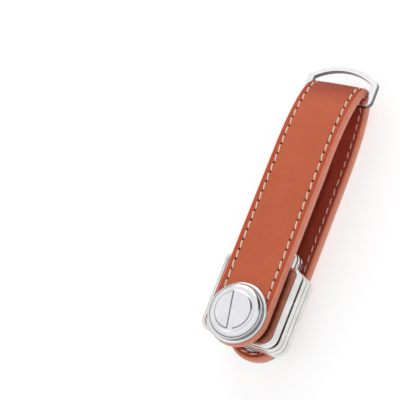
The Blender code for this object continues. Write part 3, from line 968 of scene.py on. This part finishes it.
class Finish:
    """The node tree of one material, or of a world, whose constants are set on its shader's own sockets."""

    def __init__(self, owner, constants=(), shader="Principled BSDF"):
        self.material = bpy.data.materials.new(owner) if isinstance(owner, str) else owner
        self.material.use_nodes = True
        self.nodes = self.material.node_tree.nodes
        self.links = self.material.node_tree.links
        self.shader = self.nodes[shader]
        for socket, value in dict(constants).items():
            self.shader.inputs[socket].default_value = value

    def node(self, kind, settings=None, inputs=None, output=0):
        """Adds a node: its settings (a ramp's stops among them), then its sockets, by name or number."""
        made = self.nodes.new("ShaderNode" + kind)
        for key, value in (settings or {}).items():
            if key == "stops":
                self.set_stops(made.color_ramp, value)
            else:
                setattr(made, key, value)
        for key, value in (inputs or {}).items():
            self.feed(made.inputs[key], value)
        return Value(self, made.outputs[output])

    def feed(self, socket, value):
        if isinstance(value, Value):
            self.links.new(value.socket, socket)
        elif isinstance(value, tuple) and len(value) == 3 and socket.type == "RGBA":
            socket.default_value = (*value, 1)
        else:
            socket.default_value = value

    def set_stops(self, ramp, stops):
        while len(ramp.elements) < len(stops):
            ramp.elements.new(1)
        for element, (position, colour) in zip(ramp.elements, stops):
            element.position = position
            element.color = (*colour, 1)

    def mix(self, factor, first, second):
        """A blend of two colours."""
        return self.node("Mix", {"data_type": "RGBA"}, {0: factor, 6: first, 7: second}, 2)

    def split(self, vector):
        """The three parts of a vector."""
        outputs = self.node("SeparateXYZ", {}, {0: vector}).socket.node.outputs
        return [Value(self, part) for part in outputs]

    def place(self, output="Object"):
        return self.node("TexCoord", {}, {}, output)

    def flat(self, map_name):
        return self.node("UVMap", {"uv_map": map_name})

    def stretched(self, vector, scale, turn=(0, 0, 0)):
        """The same coordinates scaled by different amounts along their axes, after a turn."""
        return self.node("Mapping", {}, {"Vector": vector, "Scale": scale, "Rotation": turn})

    def noise(self, vector, scale, detail=2, roughness=0.5, distortion=0):
        inputs = {"Vector": vector, "Scale": scale, "Detail": detail, "Roughness": roughness}
        return self.node("TexNoise", {}, inputs | {"Distortion": distortion})

    def cells(self, vector, scale):
        settings = {"feature": "DISTANCE_TO_EDGE"}
        return self.node("TexVoronoi", settings, {"Vector": vector, "Scale": scale}, "Distance")

    def finish(self, colour=None, roughness=None, bumps=()):
        """Feeds the shader. Each bump is (height in metres, strength), and each lies on the one before."""
        normal = None
        for height, strength in bumps:
            inputs = {"Height": height, "Distance": 1.0, "Strength": strength}
            if normal:
                inputs["Normal"] = normal
            normal = self.node("Bump", {}, inputs)
        for socket, value in (("Base Color", colour), ("Roughness", roughness), ("Normal", normal)):
            if value is not None:
                self.feed(self.shader.inputs[socket], value)
        return self.material


def dress(material, *things):
    """Gives pieces, or CAD nodes, one material all over."""
    for thing in things:
        thing.data.materials.clear()
        thing.data.materials.append(material)


# %% [markdown]
# ## Tan leather with a painted edge
#
# Vegetable-tanned leather is never one colour: the dye takes unevenly, the grain is darker in its
# creases, and pressed places, such as the band outside the seam, turn redder. The colour is built
# in that order, on the flat coordinates, so that the grain follows the fold. The edge is sealed
# with a paler, shinier paint. Painted shade goes on top: the crest of the fold, the seam's crease
# and a ring round each pricked hole are painted darker, and each hole holds a painted shadow.
# The holes' places come from the "seam" map, where they fall on whole numbers.

# %% Tan leather
TAN = (0.69, 0.148, 0.064)
TAN_DEEP = (0.57, 0.108, 0.043)
TAN_PALE = (0.74, 0.192, 0.094)
PRESSED = (0.59, 0.066, 0.021)
# colour of the painted shade over the crest of the fold
FOLD_SHADE_PAINT = (0.33, 0.036, 0.010)
# colour of the painted shadow in the needle holes
HOLE_SHADOW_PAINT = (0.045, 0.008, 0.006)
EDGE_PAINT = (0.86, 0.300, 0.190)
EDGE_PAINT_DEEP = (0.60, 0.165, 0.095)
PRESSED_LINE = (8.1, 8.5)  # millimetres out over which the pressed band starts
PAINT_LINE = (9.25, 9.45)

tan = Finish("tan leather", {"IOR": 1.45, "Specular IOR Level": 0.3, "Coat Roughness": 0.35})
flat = tan.flat("flat")
seam_along, seam_out, _ = tan.split(tan.flat("seam"))
from_hole = seam_along.math("PINGPONG", 0.5) * (pitch / MM)
from_seam = abs(seam_out - seam_radius / MM)
hole_distance = (from_hole * from_hole + from_seam * from_seam) ** 0.5
# painted shadow inside each needle hole, and painted shade in a ring round it
painted_hole_shadow = hole_distance.step(0.52, 0.28)
painted_hole_ring_shade = hole_distance.step(1.1, 0.3)
# painted shade along the seam's crease
painted_crease_shade = from_seam.step(0.75, 0.1)
edge_mask = seam_out.step(*PAINT_LINE)
pressed_mask = seam_out.step(*PRESSED_LINE) * (1 - edge_mask)

# painted shade: the crest of the fold is darkened because it turns away from the light
from_fold = abs(tan.split(flat)[0] - FLAT_LENGTH / 2)
painted_fold_shade = from_fold.step(0.24 * FOLD_ARC, 0.06 * FOLD_ARC)

patches = tan.noise(flat, 70, 4, 0.6)
clouds = tan.noise(flat, 420, 3, 0.6)
grain = tan.cells(tan.stretched(flat, (1900, 2300, 1)), 1)
fine_grain = tan.noise(flat, 5200, 3, 0.6)
scratch_noise = tan.noise(tan.stretched(flat, (60, 2600, 1), (0, 0, 0.5)), 1, 2, 0.6, 0.4)
scratches = scratch_noise.step(0.70, 0.78)

colour = tan.mix(0.5 + patches.step(0.30, 0.72) * 0.5, TAN_DEEP, TAN)
colour = tan.mix(clouds.step(0.40, 0.85) * 0.35, colour, TAN_PALE)
colour = tan.mix(pressed_mask * 0.85, colour, PRESSED)
colour = tan.mix((0.12 - grain).step(0, 0.12) * 0.35, colour, TAN_DEEP)
colour = tan.mix(fine_grain.step(0.35, 0.75) * 0.25, colour, TAN_PALE)
colour = tan.mix(scratches * 0.25, colour, TAN_PALE)
# painted shade over the fold's crest
colour = tan.mix(painted_fold_shade * 0.75, colour, FOLD_SHADE_PAINT)
# painted shade in the crease
colour = tan.mix(painted_crease_shade * 0.35, colour, TAN_DEEP)
# painted shade round each hole, then the painted shadow in it
colour = tan.mix(painted_hole_ring_shade * 0.45, colour, TAN_DEEP)
colour = tan.mix(painted_hole_shadow * 0.95, colour, HOLE_SHADOW_PAINT)
paint_tone = tan.noise(flat, 420, 3, 0.6)
paint = tan.mix(paint_tone.step(0.3, 0.8) * 0.35, EDGE_PAINT, EDGE_PAINT_DEEP)
# the same painted fold shade on the edge paint
paint = tan.mix(painted_fold_shade * 0.35, paint, EDGE_PAINT_DEEP)
colour = tan.mix(edge_mask, colour, paint)

leather_height = grain.step(0, 0.10) * (0.030 * MM) + fine_grain * (0.016 * MM) - scratches * (0.008 * MM)
paint_height = paint_tone * (0.05 * MM)
leather_roughness = 0.50 + patches * 0.14 - grain.step(0, 0.2) * 0.08 + scratches * 0.06
roughness = leather_roughness * (1 - edge_mask) + edge_mask * 0.38
relief = leather_height * (1 - edge_mask) + paint_height * edge_mask
tan_leather = tan.finish(colour, roughness, [(relief, 0.9)])
dress(tan_leather, leather_strap)

# %% [markdown]
# ## Lining, thread, nylon and spring steel
#
# The lining is thin dark suede: matt, with a short nap that clumps, so its noise is stretched along
# the strap. The thread is three plies laid round one another: on the "twist" map, along by round,
# a ply is a diagonal stripe. Nylon washers are moulded, faintly speckled. Spring steel keeps the
# grey of its hardening.

# %% Lining
lining = Finish("dark lining", {"Specular IOR Level": 0.2, "Roughness": 0.85})
lining_flat = lining.flat("flat")
nap = lining.noise(lining.stretched(lining_flat, (1400, 2600, 1)), 1, 4, 0.65)
worn = lining.noise(lining_flat, 120, 3, 0.6)
colour = lining.mix(nap.step(0.3, 0.7), (0.320, 0.042, 0.022), (0.540, 0.082, 0.043))
colour = lining.mix(worn.step(0.4, 0.8) * 0.4, colour, (0.60, 0.105, 0.058))
dark_lining = lining.finish(colour, 0.78 + nap * 0.15, [(nap * (0.06 * MM), 0.8)])
dress(dark_lining, bpy.data.objects["strap_lining_skin"])

# %% Thread
PLIES = 3
PLY_TURN = 5.2  # radians that the plies turn in a millimetre of thread
thread = Finish("waxed thread", {"Specular IOR Level": 0.35})
twist, round_it, _ = thread.split(thread.flat("twist"))
ply = (twist * PLY_TURN + round_it * (PLIES * math.tau)).math("SINE") * 0.5 + 0.5
fibres = thread.noise(thread.place(), 5200, 3, 0.6)
colour = thread.mix(ply.step(0, 0.5), (0.78, 0.58, 0.40), (1.0, 0.93, 0.78))
colour = thread.mix(fibres.step(0.3, 0.8) * 0.25, colour, (0.88, 0.74, 0.56))
relief = ply * (0.05 * MM) + fibres * (0.02 * MM)
thread_material = thread.finish(colour, 0.55 + fibres * 0.2, [(relief, 0.8)])
dress(thread_material, outer_stitches, inner_stitches)

# %% Nylon and spring steel
nylon = Finish("black nylon", {"Specular IOR Level": 0.4})
speckle = nylon.noise(nylon.place(), 2600, 3, 0.6)
colour = nylon.mix(speckle.step(0.4, 0.7), (0.012, 0.012, 0.013), (0.035, 0.035, 0.037))
nylon_material = nylon.finish(colour, 0.42 + speckle * 0.2, [(speckle * (0.02 * MM), 0.6)])
dress(nylon_material, *[piece for node, piece in washers.items() if "clinch" not in node])

spring = Finish("spring steel", {"Metallic": 1.0})
oxide = spring.noise(spring.place(), 700, 4, 0.6)
colour = spring.mix(oxide.step(0.3, 0.7), (0.42, 0.42, 0.44), (0.60, 0.60, 0.62))
spring_material = spring.finish(colour, 0.28 + oxide * 0.18, [(oxide * (0.01 * MM), 0.4)])
dress(spring_material, spring_washer)

# %% [markdown]
# ## Polished steel and nickel
#
# Polished metal is nearly a mirror, and what tells it from one is very small: the fine rings of the
# lathe, the straight lines of a brushed face, hairline scratches, and a haze that varies. All of
# these change only the roughness and a bump of a few microns. Turned pieces use the distance from
# the post's axis, which is the Z axis here, so that the rings run round. The upright walls of the
# steel are painted darker, a painted reflection of dark surroundings that draws the metal's edges.

# %% Steel
RINGS_PER_METRE = 9000


def metal(name, pale, dim, base_roughness, rings=0.0, brushed=0.0, turn=0.0, scratched=1.0, sides=None):
    """Bright metal with a haze and hairline scratches, and rings, brushed lines or a painted dark reflection
    on the upright walls where asked.
    """
    steel = Finish(name, {"Metallic": 1.0})
    place = steel.place()
    haze = steel.noise(place, 160, 4, 0.6)
    one_way = steel.noise(steel.stretched(place, (90, 4200, 900), (0, 0, 0.6)), 1, 2, 0.5, 0.3)
    other_way = steel.noise(steel.stretched(place, (4200, 120, 900), (0, 0, 0.25)), 1, 2, 0.5, 0.3)
    hairline = one_way.step(0.68, 0.74) + other_way.step(0.69, 0.75)
    colour = steel.mix(haze.step(0.3, 0.75), dim, pale)
    # painted reflection: the upright walls, found by their normal, are darkened
    if sides:
        upward = abs(steel.split(steel.place("Normal"))[2])
        colour = steel.mix(upward.step(0.1, 0.6), sides, colour)
    roughness = base_roughness + haze * 0.06 + hairline * (0.10 * scratched)
    height = hairline * (-0.0006 * MM * scratched)
    if rings:
        east, north, _ = steel.split(place)
        distance = (east * east + north * north) ** 0.5
        inputs = {"W": distance * RINGS_PER_METRE, "Scale": 1, "Detail": 3}
        ring_noise = steel.node("TexNoise", {"noise_dimensions": "1D"}, inputs)
        roughness = roughness + ring_noise * (0.05 * rings)
        height = height + ring_noise * (0.0014 * MM * rings)
    if brushed:
        lines = steel.noise(steel.stretched(place, (120, 7000, 7000), (0, 0, turn)), 1, 3, 0.6)
        roughness = roughness + lines * (0.10 * brushed)
        height = height + lines * (0.0018 * MM * brushed)
    return steel.finish(colour, roughness, [(height, 1.0)])


PALE_STEEL = (0.90, 0.90, 0.91)
DIM_STEEL = (0.80, 0.80, 0.82)
PAINTED_DARK_WALL_STEEL = (0.22, 0.22, 0.24)  # painted dark reflection on the upright walls
turned_steel = metal("turned steel", PALE_STEEL, DIM_STEEL, 0.08, rings=1.0, sides=PAINTED_DARK_WALL_STEEL)
# the ring's upright walls get the same painted dark reflection
ring_steel = metal("polished ring steel", (0.95, 0.95, 0.96), PALE_STEEL, 0.07, sides=(0.15, 0.15, 0.16))
knob_steel = metal(
    "brushed knob steel", PALE_STEEL, DIM_STEEL, 0.10, brushed=1.0, turn=-SLOT_ANGLE, sides=PAINTED_DARK_WALL_STEEL
)
nickel = metal("nickel plate", (0.86, 0.855, 0.84), (0.72, 0.71, 0.69), 0.14, scratched=1.6)
clinch_pieces = [piece for node, piece in washers.items() if "clinch" in node]
dress(turned_steel, rear_post, *eyelets, *clinch_pieces)
dress(ring_steel, d_ring)
dress(knob_steel, front_screw)
dress(nickel, *keys)

# %% [markdown]
# ## Stage, light and camera
#
# The organiser lies on a pale table. It rests on the edge of the post's head and on the belly of the
# strap, so the table is tilted a little in the model's frame. Polished metal shows its surroundings,
# so the room matters more than the lamp: a bright ceiling, a dark horizon, and two black flags on the
# keys' side that draw the edges of the metal.

# %% Table
TABLE_SIZE = 4.0
head_edge = post_high.x - 0.2 * MM
strap_points = get_points(leather_strap.data)
belly = strap_points[strap_points[:, 0] > head_edge + 20 * MM]
tilt = float(np.min(belly[:, 2] / (belly[:, 0] - head_edge)))
table_points = np.array([(-1, -1), (1, -1), (1, 1), (-1, 1)]) * TABLE_SIZE / 2
table_z = (table_points[:, :1] - head_edge) * tilt - 0.02 * MM
table_mesh = raw_mesh("table", np.concatenate([table_points, table_z], axis=1), np.array([[0, 1, 2, 3]]))
table = bpy.data.objects.new("table", table_mesh)
bpy.context.scene.collection.objects.link(table)
table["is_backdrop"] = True
print(f"the table meets the strap at a tilt of {math.degrees(math.atan(tilt)):.2f} degrees")

paper = Finish("pale table", {"Roughness": 0.9, "Specular IOR Level": 0.1})
paper_tone = paper.noise(paper.place(), 6, 2, 0.5)
paper_colour = paper.mix(paper_tone, (0.49, 0.49, 0.49), (0.52, 0.52, 0.52))
paper.finish(paper_colour, None)
paper.feed(paper.shader.inputs["Emission Color"], paper_colour)
paper.shader.inputs["Emission Strength"].default_value = 1.22
from_below = paper.node("NewGeometry", {}, {}, "Backfacing")
clear = paper.node("BsdfTransparent")
seen = paper.node("MixShader", {}, {0: from_below, 1: Value(paper, paper.shader.outputs[0]), 2: clear})
paper.links.new(seen.socket, paper.nodes["Material Output"].inputs["Surface"])
dress(paper.material, table)

# %% Room
FLAGS = [  # where each black flag hangs beyond the keys' side, with the cosines of its soft edge
    ((0.77, -0.64, 0.0), 0.78, 0.95),
    ((0.68, -0.45, 0.58), 0.93, 0.98),
]
ROOM_STOPS = [
    (0.0, (0.80, 0.80, 0.80)),
    (0.47, (0.10, 0.10, 0.11)),
    (0.50, (0.02, 0.02, 0.02)),
    (0.59, (0.05, 0.05, 0.05)),
    (0.66, (0.52, 0.52, 0.53)),
    (0.80, (0.76, 0.76, 0.77)),
    (0.92, (0.95, 0.95, 0.95)),
]
world = bpy.data.worlds.new("studio")
bpy.context.scene.world = world
room = Finish(world, {"Strength": 1.0}, "Background")
direction = room.place("Generated")
height = room.split(direction)[2]
shown = room.node("ValToRGB", {"stops": ROOM_STOPS}, {0: height * 0.5 + 0.5})
for flag, edge, middle in FLAGS:
    to_flag = room.node("VectorMath", {"operation": "DOT_PRODUCT"}, {0: direction, 1: flag}, "Value")
    shown = room.mix(to_flag.step(edge, middle) * 0.97, shown, (0.02, 0.02, 0.022))
straight = room.node("LightPath", {}, {}, "Is Camera Ray")
shown = room.mix(straight, shown, (0.93, 0.93, 0.94))
room.feed(room.shader.inputs["Color"], shown)


def lamp(name, place, aim, size, power):
    """A square soft box at a place, turned to its aim."""
    light = bpy.data.lights.new(name, "AREA")
    light.shape = "SQUARE"
    light.size = size
    light.energy = power
    thing = bpy.data.objects.new(name, light)
    thing.location = place
    thing.rotation_mode = "QUATERNION"
    thing.rotation_quaternion = (Vector(aim) - Vector(place)).to_track_quat("-Z", "Y")
    bpy.context.scene.collection.objects.link(thing)
    return thing


lamp("key light", (0.92, 0.38, 0.53), (0.04, 0, 0), 0.8, 2.8)

# %% Camera
AZIMUTH = math.radians(-25.35)
ELEVATION = math.radians(54.77)
ROLL = math.radians(-46.55)
DISTANCE = 413 * MM
LENS = 112.9
AIM = Vector((34.9, 33.9, 11.5)) * MM

back = Vector(
    (
        math.sin(AZIMUTH) * math.cos(ELEVATION),
        -math.cos(AZIMUTH) * math.cos(ELEVATION),
        math.sin(ELEVATION),
    )
)
level = Vector((math.cos(AZIMUTH), math.sin(AZIMUTH), 0))
camera_right = math.cos(ROLL) * level + math.sin(ROLL) * back.cross(level)
camera_up = back.cross(camera_right)
camera = bpy.data.cameras.new("camera")
camera.lens = LENS
camera.clip_start = MM
viewer = bpy.data.objects.new("camera", camera)
bpy.context.scene.collection.objects.link(viewer)
axes = Matrix((camera_right, camera_up, back)).transposed()
viewer.rotation_mode = "QUATERNION"
viewer.rotation_quaternion = axes.to_quaternion()
viewer.location = AIM + back * DISTANCE
bpy.context.scene.camera = viewer
bpy.context.scene.view_settings.view_transform = "Standard"

# %% [markdown]
# ## Measure
#
# The looks must not change the size of the object, so the box of what is shown is printed.

# %% Size and finish
low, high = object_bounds()
print("visual", [round(side / MM, 1) for side in high - low], "mm")
